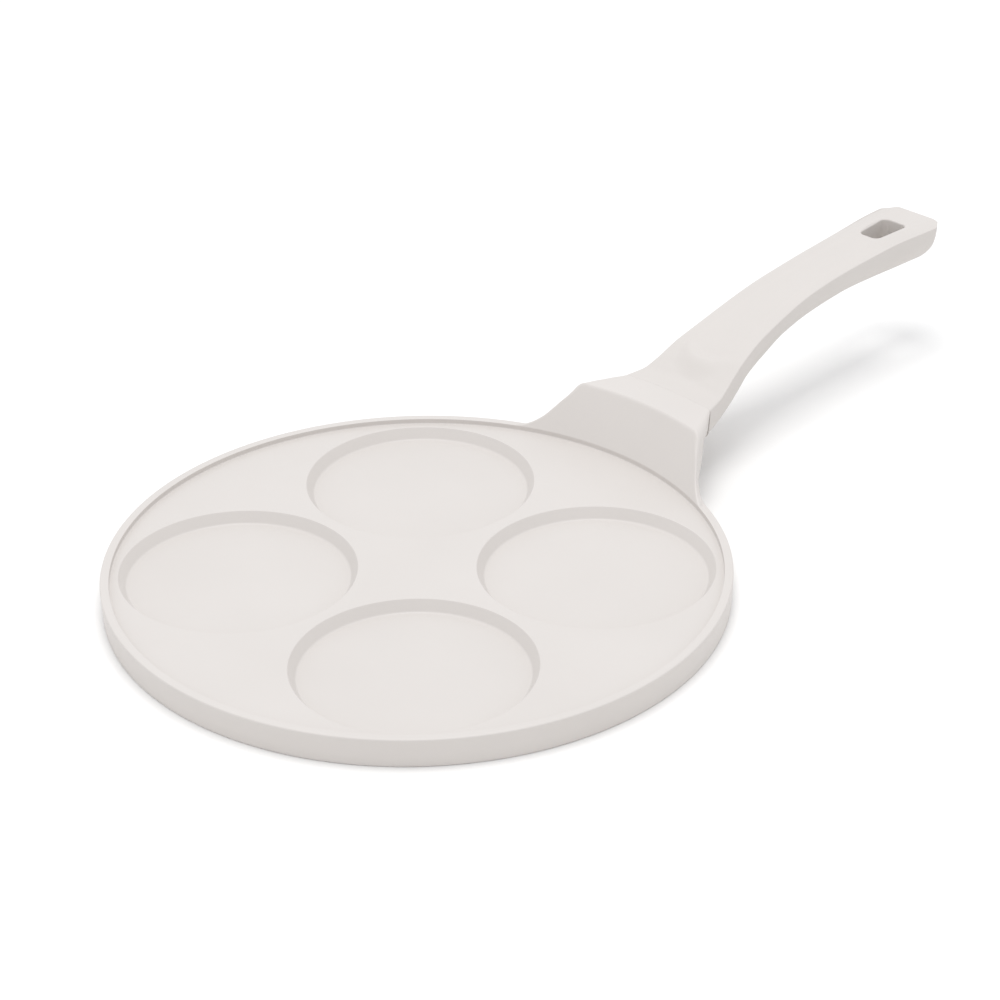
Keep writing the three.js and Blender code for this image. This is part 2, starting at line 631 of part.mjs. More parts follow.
function flatWasherSolid() {
  return ringSolid(SCREW_RADIUS + SCREW_CLEARANCE, FLAT_WASHER_RADIUS, SPRING_WASHER_TOP, SEAT_HEIGHT);
}

function piece(name, solid, color, roughness, metalness) {
  const material = new THREE.MeshStandardMaterial({ color, roughness, metalness });
  const mesh = new THREE.Mesh(toGeometry(solid), material);
  mesh.name = name;
  return mesh;
}

const CREAM = 0xe6e2dc;
const HANDLE_CREAM = 0xe2ded8;
const STEEL = 0xb9bbbd;
const BRASS = 0xc9a95a;

const pan = new THREE.Group();
pan.add(piece('pan_body', panSolid(), CREAM, 0.45, 0));
pan.add(piece('induction_disc', discSolid(), STEEL, 0.35, 1));
pan.add(piece('handle', handleSolid(), HANDLE_CREAM, 0.6, 0));
pan.add(piece('threaded_insert', insertSolid(), BRASS, 0.4, 1));
pan.add(piece('handle_screw', screwSolid(), STEEL, 0.35, 1));
pan.add(piece('spring_washer', springWasherSolid(), STEEL, 0.4, 1));
pan.add(piece('flat_washer', flatWasherSolid(), STEEL, 0.4, 1));

export default pan;
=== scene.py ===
"""Looks of the four-cup pancake pan: fine meshes, finishes, studio light and camera.

Sizes are millimetres in the part's own frame, +X along the handle and +Z up. Meshes are made in metres.
"""
import math

import bmesh
import bpy
from mathutils import Matrix, Vector


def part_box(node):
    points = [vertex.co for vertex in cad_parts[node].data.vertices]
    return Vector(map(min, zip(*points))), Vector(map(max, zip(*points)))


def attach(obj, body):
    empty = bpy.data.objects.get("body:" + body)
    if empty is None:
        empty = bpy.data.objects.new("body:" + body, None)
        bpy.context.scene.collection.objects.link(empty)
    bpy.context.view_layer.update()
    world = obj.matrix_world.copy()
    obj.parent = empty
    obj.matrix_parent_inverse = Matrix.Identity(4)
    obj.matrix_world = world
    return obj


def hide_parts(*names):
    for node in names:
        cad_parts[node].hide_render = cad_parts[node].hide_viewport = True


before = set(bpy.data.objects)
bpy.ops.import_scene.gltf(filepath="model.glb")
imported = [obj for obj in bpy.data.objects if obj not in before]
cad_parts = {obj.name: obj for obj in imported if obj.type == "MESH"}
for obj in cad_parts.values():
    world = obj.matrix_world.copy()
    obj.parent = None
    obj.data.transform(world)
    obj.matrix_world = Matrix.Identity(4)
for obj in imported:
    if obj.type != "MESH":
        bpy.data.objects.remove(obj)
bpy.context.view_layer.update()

# A millimetre, and the distances under which points of a mesh merge, in metres
MM = 0.001
WELD_DISTANCE = 1e-8
CRUMB_DISTANCE = 2e-6
SLIVER_DISTANCE = 1e-6

# Sizes read from the frame
PAN_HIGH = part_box("pan_body")[1] / MM
HANDLE_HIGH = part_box("handle")[1] / MM
RIM_RADIUS = PAN_HIGH.y
SEAM_RADIUS = PAN_HIGH.x
BRACKET_TOP = PAN_HIGH.z
HANDLE_END = HANDLE_HIGH.x

# Pan casting
RIM_HEIGHT = 12.6
RIM_WIDTH = 3.7
RIM_STEP = 2.4
RIM_EDGE_ROUND = 0.7
RIM_INNER_ROUND = 0.25
RIM_FILLET = 0.6
WALL_DRAFT = 0.5
BASE_ROUND = 0.6
CUP_COUNT = 4
CUP_CENTRE_RADIUS = 73.8
CUP_TOP_RADIUS = 49.4
CUP_DEPTH = 4.9
CUP_DRAFT = 3.2
CUP_EDGE_ROUND = 0.6
CUP_FLOOR_ROUND = 1.6
DECK_HEIGHT = RIM_HEIGHT - RIM_STEP
CUP_FLOOR = DECK_HEIGHT - CUP_DEPTH
RIM_INNER_RADIUS = RIM_RADIUS - RIM_WIDTH

# Perforated disc pressed into the base
DISC_RADIUS = 95
DISC_THICKNESS = 0.8
DISC_CLEARANCE = 0.3
DISC_EDGE_ROUND = 0.15
PERFORATION_RADIUS = 3
PERFORATION_RINGS = ((56, 16), (80, 24))

# Handle bracket, cast in one with the rim
BRACKET_FACE_INSET = 3.65
BRACKET_FACE_RUN = 12.45
BRACKET_RIDGE_ROUND = 0.6
BRACKET_FACE_HALF_WIDTH = 50.4
BRACKET_RIDGE_HALF_WIDTH = 36.3
BRACKET_FOOT_BLEND = 7
BRACKET_FOOT_BOTTOM = 7.5
BRACKET_FOOT_RISE = 1
BRACKET_SIDE_LEAN = 3
BRACKET_EDGE_ROUND = 1.8
BRACKET_SHOULDER_ROUND = 4.6
BRACKET_END_ROUND = 2.6
BRACKET_SIDE_POWER = 6
FACE_RADIUS = RIM_RADIUS - BRACKET_FACE_INSET
RIDGE_RADIUS = FACE_RADIUS + BRACKET_FACE_RUN

# Seam between bracket and handle: close on top, open a little lower down
SEAM_HALF_WIDTH = 25.2
SEAM_DEPTH = 16.4
SEAM_SIDE_LEAN = -2
SEAM_SHOULDER_ROUND = 1.2
SEAM_SIDE_POWER = 8
SEAM_GAP_TOP = 0.03
SEAM_GAP_BOTTOM = 0.7
SEAM_GAP_DEPTH = 5
SEAM_GAP_RUN = 3
SEAM_BOTTOM = BRACKET_TOP - SEAM_DEPTH

# Handle
HANDLE_START = SEAM_RADIUS + SEAM_GAP_TOP
HANDLE_LENGTH = HANDLE_END - HANDLE_START
HANDLE_RISE = 29.9
GRIP_HALF_WIDTH = 14
GRIP_DEPTH = 15
GRIP_SHOULDER_ROUND = 1
GRIP_SIDE_POWER = 2.6
GRIP_BAND_WIDTH = 6.5
GRIP_BAND_DROP = 0.6
END_HALF_WIDTH = 16.4
END_DEPTH = 18.8
END_FLAT_HALF_WIDTH = 12.4
END_CORNER = 6.4
END_CORNER_POWER = 1.2
END_BELLY = 11
END_BELLY_REACH = 1.08
END_EDGE_ROUND = 0.5
END_BAND_DROP = 1.5
SCOOP_START = 19.2
SCOOP_LENGTH = 30
SCOOP_HALF_WIDTH = 13.2
SCOOP_DEPTH = 0.5
SCOOP_LIP = 2.2
SCOOP_LIP_RUN = 9
SCOOP_BOW = 5
SCOOP_EDGE_RUN = 6.5
SCOOP_FLOOR_RUN = 7
HANG_HOLE_FROM_END = 26.2
HANG_HOLE_X = HANDLE_END - HANG_HOLE_FROM_END
HANG_HOLE_LENGTH = 21
HANG_HOLE_NEAR_HALF_WIDTH = 5.2
HANG_HOLE_FAR_HALF_WIDTH = 6.8
HANG_HOLE_CORNER = 3
HANG_HOLE_LIP = 0.8

# Tongue, screw, washers and insert
TONGUE_HALF_WIDTH = 13.6
TONGUE_HEIGHT = 6.6
TONGUE_LENGTH = 13
TONGUE_ROOT = 10
TONGUE_CLEARANCE = 0.4
TONGUE_CORNER = 2
TONGUE_FLOOR = 9.4
POCKET_FLOOR = BRACKET_TOP - TONGUE_FLOOR
SCREW_FROM_SEAM = 7
SCREW_X = SEAM_RADIUS - SCREW_FROM_SEAM
SCREW_RADIUS = 2.4
SCREW_LENGTH = 10
SCREW_HEAD_RADIUS = 4.75
SCREW_HEAD_HEIGHT = 3.2
SCREW_HEAD_ROUND = 1.6
SCREW_CLEARANCE = 0.4
THREAD_PITCH = 0.8
THREAD_DEPTH = 0.4
THREAD_CLEARANCE = 0.2
THREAD_STEPS = 8
DRIVE_RADIUS = 1.9
DRIVE_DEPTH = 1.8
DRIVE_SIDES = 6
SEAT_RADIUS = 6.2
SEAT_WALL = 3
SEAT_HEIGHT = POCKET_FLOOR - SEAT_WALL
FLAT_WASHER_RADIUS = 5.5
FLAT_WASHER_THICKNESS = 0.8
SPRING_WASHER_RADIUS = 4.6
SPRING_WASHER_THICKNESS = 1.2
SPRING_WASHER_TOP = SEAT_HEIGHT - FLAT_WASHER_THICKNESS
SPRING_WASHER_SPLIT = 1
SPLIT_CORNER = 0.1
WASHER_EDGE_ROUND = 0.2
HEAD_TOP = SPRING_WASHER_TOP - SPRING_WASHER_THICKNESS
INSERT_RADIUS = 4
INSERT_LENGTH = 5
INSERT_CLEARANCE = 0.3
KNURL_TEETH = 28
KNURL_DEPTH = 0.25
KNURL_GROOVE = 0.9
KNURL_STEPS = 4
CUT_OVERRUN = 1

# Fineness of the meshes
RIM_SEGMENTS = 288
CUP_SEGMENTS = 160
SMALL_SEGMENTS = 72
ROUND_STEPS = 8
SMALL_ROUND_STEPS = 3
SCREW_ROUND_STEPS = 6
BRACKET_STATIONS = 96
BRACKET_PACKING = 1.5
HANDLE_STATIONS = 320
END_PACKING = 0.75
FINE_POINTS = {"top": 32, "shoulder": 10, "wall": 28}
SHARP_ANGLE = math.radians(32)
KNURL_SHARP_ANGLE = math.radians(20)
NORMAL_WEIGHT = 80

# Camera of the photograph, with its reach in metres
LENS = 106.47
SENSOR = 36
CAMERA_AZIMUTH = math.radians(-45)
CAMERA_ELEVATION = 0.5144
CAMERA_ROLL = -0.0123
CAMERA_DISTANCE = 1286.46
CAMERA_TARGET = (75.66, 26.97, 0.65)
CAMERA_REACH = 20

# Range that the noise of a finish mostly keeps to
NOISE_LOW = 0.3
NOISE_HIGH = 0.7

# Studio, with the light's places and sizes in metres
FLOOR_HALF_SIZE = 4000
FLOOR_GAP = 0.05
WORLD_COLOUR = (0.975, 0.995, 1.025, 1)
WORLD_STRENGTH = 0.96
OVERHEAD_PLACE = (0.03, 0.04, 1.7)
OVERHEAD_TARGET = (0.03, 0, 0)
OVERHEAD_SIZE = (0.8, 0.8)
OVERHEAD_WATTS = 11


def mix(a, b, t):
    return a + (b - a) * t


def ease(t):
    c = min(max(t, 0), 1)
    return c * c * (3 - 2 * c)


def through(keys, x):
    """Value at x of a smooth curve through (x, value) keys, without overshoot between them."""
    if x <= keys[0][0]:
        return keys[0][1]
    if x >= keys[-1][0]:
        return keys[-1][1]
    pairs = list(zip(keys, keys[1:]))
    slopes = [(b[1] - a[1]) / (b[0] - a[0]) for a, b in pairs]
    tangents = [slopes[0]]
    for before, after in zip(slopes, slopes[1:]):
        product = before * after
        tangents.append(0 if product <= 0 else 2 * product / (before + after))
    tangents.append(slopes[-1])
    k = next(i for i, (a, b) in enumerate(pairs) if x <= b[0])
    (x0, y0), (x1, y1) = pairs[k]
    t = (x - x0) / (x1 - x0)
    near = (1 + 2 * t) * (1 - t) ** 2 * y0 + t * t * (3 - 2 * t) * y1
    bend = t * (1 - t) ** 2 * tangents[k] - t * t * (1 - t) * tangents[k + 1]
    return near + bend * (x1 - x0)


# Mesh helpers

def mesh_object(name, points, faces):
    """Object from points in millimetres, with its faces turned outwards."""
    mesh = bpy.data.meshes.new(name)
    mesh.from_pydata([Vector(p) * MM for p in points], [], faces)
    work = bmesh.new()
    work.from_mesh(mesh)
    bmesh.ops.remove_doubles(work, verts=work.verts, dist=WELD_DISTANCE)
    bmesh.ops.recalc_face_normals(work, faces=work.faces)
    work.to_mesh(mesh)
    work.free()
    obj = bpy.data.objects.new(name, mesh)
    bpy.context.scene.collection.objects.link(obj)
    return obj


def rounded(corners, steps=ROUND_STEPS):
    """Outline whose (x, y, radius) corners are arcs; a corner without a radius stays sharp."""
    points = []
    for i, corner in enumerate(corners):
        here = Vector(corner[:2])
        if len(corner) < 3:
            points.append(tuple(here))
            continue
        before = (Vector(corners[i - 1][:2]) - here).normalized()
        after = (Vector(corners[(i + 1) % len(corners)][:2]) - here).normalized()
        half = before.angle(after) / 2
        centre = here + (before + after).normalized() * corner[2] / math.sin(half)
        start = here + before * corner[2] / math.tan(half) - centre
        end = here + after * corner[2] / math.tan(half) - centre
        sweep = start.angle_signed(end)
        for k in range(steps + 1):
            turn = -sweep * k / steps
            arm = Vector((start.x * math.cos(turn) - start.y * math.sin(turn),
                          start.x * math.sin(turn) + start.y * math.cos(turn)))
            points.append(tuple(centre + arm))
    return points


def turned(name, profile, segments, centre_x=0, radius_at=None):
    """Solid turned about an upright axis. The profile starts and ends on the axis, or closes on itself.
    radius_at(radius, height, turn), if given, changes the radius round the axis."""
    change = radius_at or (lambda radius, height, turn: radius)
    points = []
    for s in range(segments):
        turn = 2 * math.pi * s / segments
        for radius, height in profile:
            r = change(radius, height, turn) if radius > 0 else 0
            points.append((centre_x + r * math.cos(turn), r * math.sin(turn), height))
    count = len(profile)
    faces = []
    for s in range(segments):
        a, b = s * count, (s + 1) % segments * count
        for j in range(count - 1):
            if profile[j][0] == 0 and profile[j + 1][0] == 0:
                continue
            if profile[j][0] == 0:
                faces.append((a + j, a + j + 1, b + j + 1))
            elif profile[j + 1][0] == 0:
                faces.append((a + j, a + j + 1, b + j))
            else:
                faces.append((a + j, a + j + 1, b + j + 1, b + j))
        if profile[0][0] > 0:
            faces.append((a + count - 1, a, b, b + count - 1))
    return mesh_object(name, points, faces)


def stacked(name, rings):
    """Solid over rings of points with the same count, closed flat at both ends."""
    count = len(rings[0])
    points = [point for ring in rings for point in ring]
    faces = []
    for i in range(len(rings) - 1):
        for j in range(count):
            k = (j + 1) % count
            faces.append((i * count + j, i * count + k, (i + 1) * count + k, (i + 1) * count + j))
    faces.append(tuple(range(count)))
    faces.append(tuple(range((len(rings) - 1) * count, len(rings) * count)))
    return mesh_object(name, points, faces)


def extruded(name, outline, bottom, top):
    return stacked(name, [[(x, y, z) for x, y in outline] for z in (bottom, top)])


def cylinder(name, radius, bottom, top, centre, segments=SMALL_SEGMENTS):
    solid = turned(name, [(0, bottom), (radius, bottom), (radius, top), (0, top)], segments)
    solid.data.transform(Matrix.Translation(Vector((centre[0], centre[1], 0)) * MM))
    return solid


def joined(name, objects):
    """One object of separate solids that don't meet."""
    work = bmesh.new()
    for obj in objects:
        work.from_mesh(obj.data)
        bpy.data.objects.remove(obj)
    mesh = bpy.data.meshes.new(name)
    work.to_mesh(mesh)
    work.free()
    obj = bpy.data.objects.new(name, mesh)
    bpy.context.scene.collection.objects.link(obj)
    return obj


def box_outline(from_x, to_x, half_width, corner):
    return rounded([(from_x, -half_width, corner), (to_x, -half_width, corner),
                    (to_x, half_width, corner), (from_x, half_width, corner)])


def combine(target, other, operation):
    """Join or cut target with another solid, which is used up."""
    modifier = target.modifiers.new("combine", "BOOLEAN")
    modifier.operation = operation
    modifier.solver = "EXACT"
    modifier.object = other
    apply_modifiers(target)
    bpy.data.objects.remove(other)


def apply_modifiers(obj):
    bpy.context.view_layer.update()
    shown = obj.evaluated_get(bpy.context.evaluated_depsgraph_get())
    mesh = bpy.data.meshes.new_from_object(shown)
    old = obj.data
    obj.modifiers.clear()
    obj.data = mesh
    bpy.data.meshes.remove(old)
    mesh.name = obj.name


def clean(obj):
    """Merge the crumbs that a cut leaves, so that no face is a sliver."""
    work = bmesh.new()
    work.from_mesh(obj.data)
    bmesh.ops.remove_doubles(work, verts=work.verts, dist=CRUMB_DISTANCE)
    bmesh.ops.dissolve_degenerate(work, dist=SLIVER_DISTANCE, edges=work.edges)
    work.to_mesh(obj.data)
    work.free()


def smooth(obj, angle=SHARP_ANGLE):
    """Smooth shading with sharp edges kept, and normals that follow the larger faces."""
    for face in obj.data.polygons:
        face.use_smooth = True
    obj.data.set_sharp_from_angle(angle=angle)
    modifier = obj.modifiers.new("normals", "WEIGHTED_NORMAL")
    modifier.mode = "FACE_AREA"
    modifier.weight = NORMAL_WEIGHT
    modifier.keep_sharp = True
    apply_modifiers(obj)


# Sections of bracket and handle

def half_section(size):
    """Half of a cross-section, as (across, height) points from the middle of its top to the middle of its
    underside: a flat top, a quarter-round shoulder, and a lower part that bends in by a power."""
    counts = FINE_POINTS
    level = size["top"] - size["shoulder"]
    power = size["power"]
    turn_in = 0.5 ** (1 / power)

    def bent(share):
        return (1 - share ** power) ** (1 / power)

    def wall(height):
        down = (size["top"] - height) / (size["top"] - size["bottom"])
        return mix(size["top_half_width"], size["bottom_half_width"], down) + size["flare"](height)

    points = []
    edge = wall(size["top"]) - size["shoulder"]
    for j in range(counts["top"] + 1):
        points.append((edge * j / counts["top"], size["top"]))
    for j in range(1, counts["shoulder"] + 1):
        turn = math.pi / 2 * (1 - j / counts["shoulder"])
        height = level + size["shoulder"] * math.sin(turn)
        points.append((wall(height) - size["shoulder"] * (1 - math.cos(turn)), height))
    for j in range(1, counts["wall"] + 1):
        depth = turn_in * j / counts["wall"]
        height = mix(level, size["bottom"], depth)
        points.append((wall(height) * bent(depth), height))
    for j in range(1, counts["top"] + 1):
        share = turn_in * (1 - j / counts["top"])
        height = mix(level, size["bottom"], bent(share))
        points.append((wall(height) * share, height))
    return points


def skinned(name, stations, half_at, place):
    """Solid over half sections mirrored about the handle's plane. Upright strips close its ends."""
    points = []
    for station in stations:
        half = half_at(station)
        mirrored = [(-across, height) for across, height in reversed(half[1:-1])]
        points += [place(across, height, station) for across, height in half + mirrored]
    bottom = len(half) - 1
    count = 2 * bottom
    faces = []
    for i in range(len(stations) - 1):
        for j in range(count):
            k = (j + 1) % count
            faces.append((i * count + j, i * count + k, (i + 1) * count + k, (i + 1) * count + j))
    top = FINE_POINTS["top"]
    strips = [(j, j + 1, bottom - j - 1, bottom - j) for j in range(top)]
    strips += [(top, j, j + 1) for j in range(top + 1, bottom - top)]
    for offset in (0, (len(stations) - 1) * count):
        for strip in strips:
            faces.append(tuple(offset + k for k in strip))
            faces.append(tuple(offset + (count - k) % count for k in strip))
    return mesh_object(name, points, faces)


def on_arc(radius, across, height):
    turn = across / radius
    return (radius * math.cos(turn), radius * math.sin(turn), height)


def bracket_top(radius):
    slope = (BRACKET_TOP - RIM_HEIGHT) / (RIDGE_RADIUS - FACE_RADIUS)
    face = RIM_HEIGHT + (radius - FACE_RADIUS) * slope
    blend = min(max(0.5 + (face - BRACKET_TOP) / (4 * BRACKET_RIDGE_ROUND), 0), 1)
    return mix(face, BRACKET_TOP, blend) - 2 * BRACKET_RIDGE_ROUND * blend * (1 - blend)


def foot_flare(radius, height):
    """Widening of the bracket's side by the round that blends it into the rim."""
    out = max(radius - RIM_RADIUS + RIM_EDGE_ROUND, 0)
    up = max(height - RIM_HEIGHT + RIM_EDGE_ROUND, 0)
    gap = max(math.hypot(out, up) - RIM_EDGE_ROUND, 0)
    short = max(BRACKET_FOOT_BLEND - gap, 0)
    return BRACKET_FOOT_BLEND - math.sqrt(BRACKET_FOOT_BLEND ** 2 - short ** 2)


def bracket_half(radius):
    shelf = mix(RIDGE_RADIUS, SEAM_RADIUS, 0.4)
    top_half_width = through([
        (FACE_RADIUS, BRACKET_FACE_HALF_WIDTH),
        (RIDGE_RADIUS, BRACKET_RIDGE_HALF_WIDTH),
        (shelf, mix(BRACKET_RIDGE_HALF_WIDTH, SEAM_HALF_WIDTH, 0.25)),
        (SEAM_RADIUS, SEAM_HALF_WIDTH),
    ], radius)
    out = (radius - RIM_RADIUS) / (SEAM_RADIUS - RIM_RADIUS)
    leaning = through([(0, 1), (0.3, 1.1), (0.5, 0.36), (0.62, -0.36), (0.8, -0.5), (1, 0)], out)
    lean = mix(SEAM_SIDE_LEAN, BRACKET_SIDE_LEAN, leaning)
    bottom = through([
        (FACE_RADIUS, BRACKET_FOOT_BOTTOM),
        (RIM_RADIUS, BRACKET_FOOT_BOTTOM + BRACKET_FOOT_RISE),
        (mix(RIM_RADIUS, SEAM_RADIUS, 0.45), mix(BRACKET_FOOT_BOTTOM, SEAM_BOTTOM, 0.68)),
        (SEAM_RADIUS, SEAM_BOTTOM),
    ], radius)
    shoulder = through([
        (mix(FACE_RADIUS, RIDGE_RADIUS, 0.6), BRACKET_EDGE_ROUND),
        (RIDGE_RADIUS, mix(BRACKET_EDGE_ROUND, BRACKET_SHOULDER_ROUND, 0.7)),
        (shelf, BRACKET_SHOULDER_ROUND),
        (mix(RIDGE_RADIUS, SEAM_RADIUS, 0.8), BRACKET_END_ROUND),
        (SEAM_RADIUS, SEAM_SHOULDER_ROUND),
    ], radius)
    return half_section({
        "top": bracket_top(radius),
        "bottom": bottom,
        "shoulder": shoulder,
        "top_half_width": top_half_width,
        "bottom_half_width": top_half_width + lean,
        "power": mix(BRACKET_SIDE_POWER, SEAM_SIDE_POWER, ease(2 * out - 1)),
        "flare": lambda height: foot_flare(radius, height),
    })


def handle_top(along):
    return BRACKET_TOP + HANDLE_RISE * through([
        (0, 0),
        (0.05 * HANDLE_LENGTH, 0.033),
        (0.08 * HANDLE_LENGTH, 0.113),
        (0.115 * HANDLE_LENGTH, 0.231),
        (0.15 * HANDLE_LENGTH, 0.345),
        (0.28 * HANDLE_LENGTH, 0.612),
        (0.46 * HANDLE_LENGTH, 0.842),
        (0.66 * HANDLE_LENGTH, 0.948),
        (0.86 * HANDLE_LENGTH, 1),
        (HANDLE_LENGTH, 0.985),
    ], along)


def handle_half_width(along):
    return through([
        (0, SEAM_HALF_WIDTH),
        (0.12 * HANDLE_LENGTH, mix(GRIP_HALF_WIDTH, SEAM_HALF_WIDTH, 0.54)),
        (0.26 * HANDLE_LENGTH, mix(GRIP_HALF_WIDTH, SEAM_HALF_WIDTH, 0.2)),
        (0.54 * HANDLE_LENGTH, GRIP_HALF_WIDTH),
        (0.76 * HANDLE_LENGTH, mix(GRIP_HALF_WIDTH, END_HALF_WIDTH, 0.2)),
        (0.96 * HANDLE_LENGTH, END_HALF_WIDTH),
        (HANDLE_LENGTH, END_HALF_WIDTH),
    ], along)


def handle_depth(along):
    return through([
        (0, SEAM_DEPTH),
        (0.05 * HANDLE_LENGTH, 0.93 * SEAM_DEPTH),
        (0.08 * HANDLE_LENGTH, 0.99 * SEAM_DEPTH),
        (0.115 * HANDLE_LENGTH, 1.2 * GRIP_DEPTH),
        (0.17 * HANDLE_LENGTH, 1.34 * GRIP_DEPTH),
        (0.26 * HANDLE_LENGTH, 1.24 * GRIP_DEPTH),
        (0.36 * HANDLE_LENGTH, 1.06 * GRIP_DEPTH),
        (0.6 * HANDLE_LENGTH, 1.05 * GRIP_DEPTH),
        (0.86 * HANDLE_LENGTH, END_DEPTH),
        (HANDLE_LENGTH, END_DEPTH),
    ], along)


def handle_bottom(along):
    belly = max(along - (HANDLE_LENGTH - END_BELLY), 0) / (END_BELLY_REACH * END_BELLY)
    return handle_top(along) - handle_depth(along) * math.sqrt(1 - belly * belly)


def handle_size(along):
    grip = ease(along / (0.2 * HANDLE_LENGTH))
    corner = max(along - (HANDLE_LENGTH - END_CORNER), 0) / END_CORNER
    past = max(along - (HANDLE_LENGTH - END_EDGE_ROUND), 0)
    inset = END_EDGE_ROUND - math.sqrt(max(END_EDGE_ROUND ** 2 - past ** 2, 0))
    half_width = mix(handle_half_width(along), END_FLAT_HALF_WIDTH, corner ** END_CORNER_POWER) - inset
    return {
        "top": handle_top(along) - inset,
        "bottom": handle_bottom(along) + inset,
        "shoulder": mix(SEAM_SHOULDER_ROUND, GRIP_SHOULDER_ROUND, grip),
        "top_half_width": half_width,
        "bottom_half_width": half_width + SEAM_SIDE_LEAN * (1 - grip),
        "power": mix(SEAM_SIDE_POWER, GRIP_SIDE_POWER, grip),
        "flare": lambda height: 0,
    }


def scoop_drop(along, across):
    """Thumb rest: a shallow scoop behind a low lip whose edge is a crescent."""
    side = 1 - (across / SCOOP_HALF_WIDTH) ** 2
    if side <= 0:
        return 0
    start = SCOOP_START + SCOOP_BOW * (across / SCOOP_HALF_WIDTH) ** 2
    near = ease((along - start) / SCOOP_EDGE_RUN)
    far = 1 - ease((along - start - SCOOP_FLOOR_RUN) / (SCOOP_LENGTH - SCOOP_FLOOR_RUN))
    lip = ease((along - start + SCOOP_LIP_RUN) / SCOOP_LIP_RUN) * (1 - near)
    return SCOOP_DEPTH * near * far * side ** 2 - SCOOP_LIP * lip * side


def band_drop(along, across):
    """The top falls away a little in a band along its edges, most of all near the end."""
    inside = handle_half_width(along) - GRIP_BAND_WIDTH
    share = max(abs(across) - inside, 0) / GRIP_BAND_WIDTH
    grip = ease(along / (0.3 * HANDLE_LENGTH))
    end = ease((along - 0.6 * HANDLE_LENGTH) / (0.3 * HANDLE_LENGTH))
    return share * grip * mix(GRIP_BAND_DROP, END_BAND_DROP, end)


def handle_half(along):
    size = handle_size(along)
    level = size["top"] - size["shoulder"]
    points = []
    for across, height in half_section(size):
        upper = max(height - level, 0) / size["shoulder"]
        drop = scoop_drop(along, across) + band_drop(along, across)
        points.append((across, height - upper * drop))
    return points


def on_handle(across, height, along):
    bow = 1 - ease(along / (0.2 * HANDLE_LENGTH))
    arc = on_arc(HANDLE_START, across, height)
    lower = min(max((BRACKET_TOP - height) / SEAM_GAP_DEPTH, 0), 1)
    fade = 1 - ease(along / SEAM_GAP_RUN)
    gap = (SEAM_GAP_BOTTOM - SEAM_GAP_TOP) * lower * fade
    return (mix(HANDLE_START, arc[0], bow) + along + gap, mix(across, arc[1], bow), height)


# Pieces

def plate():
    wall_bottom = RIM_RADIUS - WALL_DRAFT
    recess = DISC_RADIUS + DISC_CLEARANCE
    return turned("pan_casting", rounded([
        (0, DISC_THICKNESS),
        (recess, DISC_THICKNESS),
        (recess, 0),
        (wall_bottom, 0, BASE_ROUND),
        (RIM_RADIUS, RIM_HEIGHT, RIM_EDGE_ROUND),
        (RIM_INNER_RADIUS, RIM_HEIGHT, RIM_INNER_ROUND),
        (RIM_INNER_RADIUS, DECK_HEIGHT, RIM_FILLET),
        (0, DECK_HEIGHT),
    ]), RIM_SEGMENTS)


def cup_cut(k):
    floor_radius = CUP_TOP_RADIUS - CUP_DRAFT
    steepness = math.atan2(CUP_DEPTH, CUP_DRAFT)
    edge = CUP_TOP_RADIUS + CUP_EDGE_ROUND * math.tan(steepness / 2)
    cut = turned("cup", rounded([
        (0, CUP_FLOOR),
        (floor_radius, CUP_FLOOR, CUP_FLOOR_ROUND),
        (CUP_TOP_RADIUS, DECK_HEIGHT, CUP_EDGE_ROUND),
        (edge, DECK_HEIGHT),
        (edge, 2 * RIM_HEIGHT),
        (0, 2 * RIM_HEIGHT),
    ]), CUP_SEGMENTS)
    turn = 2 * math.pi * (k + 0.5) / CUP_COUNT
    centre = Vector((math.cos(turn), math.sin(turn), 0)) * CUP_CENTRE_RADIUS * MM
    cut.data.transform(Matrix.Translation(centre))
    return cut


def bracket():
    stations = []
    for i in range(BRACKET_STATIONS + 1):
        share = (i / BRACKET_STATIONS) ** BRACKET_PACKING
        stations.append(mix(FACE_RADIUS, SEAM_RADIUS, share))

    def place(across, height, radius):
        return on_arc(radius, across, height)

    return skinned("bracket", stations, bracket_half, place)


def perforations(radius, bottom, top):
    pegs = []
    for ring_radius, count in PERFORATION_RINGS:
        for k in range(count):
            turn = 2 * math.pi * k / count
            centre = (ring_radius * math.cos(turn), ring_radius * math.sin(turn))
            pegs.append(cylinder("peg", radius, bottom, top, centre, SMALL_SEGMENTS // 2))
    return joined("pegs", pegs)


def make_pan_body():
    pan = plate()
    combine(pan, bracket(), "UNION")
    for k in range(CUP_COUNT):
        combine(pan, cup_cut(k), "DIFFERENCE")
    start = SEAM_RADIUS - TONGUE_LENGTH - TONGUE_CLEARANCE
    half_width = TONGUE_HALF_WIDTH + TONGUE_CLEARANCE
    outline = box_outline(start, SEAM_RADIUS + TONGUE_ROOT, half_width, TONGUE_CORNER)
    pocket_top = POCKET_FLOOR + TONGUE_HEIGHT + TONGUE_CLEARANCE
    combine(pan, extruded("pocket", outline, POCKET_FLOOR, pocket_top), "DIFFERENCE")
    place = (SCREW_X, 0)
    hole = cylinder("screw_hole", SCREW_RADIUS + SCREW_CLEARANCE, 0, POCKET_FLOOR + CUT_OVERRUN, place)
    combine(pan, hole, "DIFFERENCE")
    combine(pan, cylinder("seat", SEAT_RADIUS, 0, SEAT_HEIGHT, place), "DIFFERENCE")
    pegs = perforations(PERFORATION_RADIUS - DISC_CLEARANCE, 0, 2 * DISC_THICKNESS)
    combine(pan, pegs, "UNION")
    clean(pan)
    smooth(pan)
    return pan


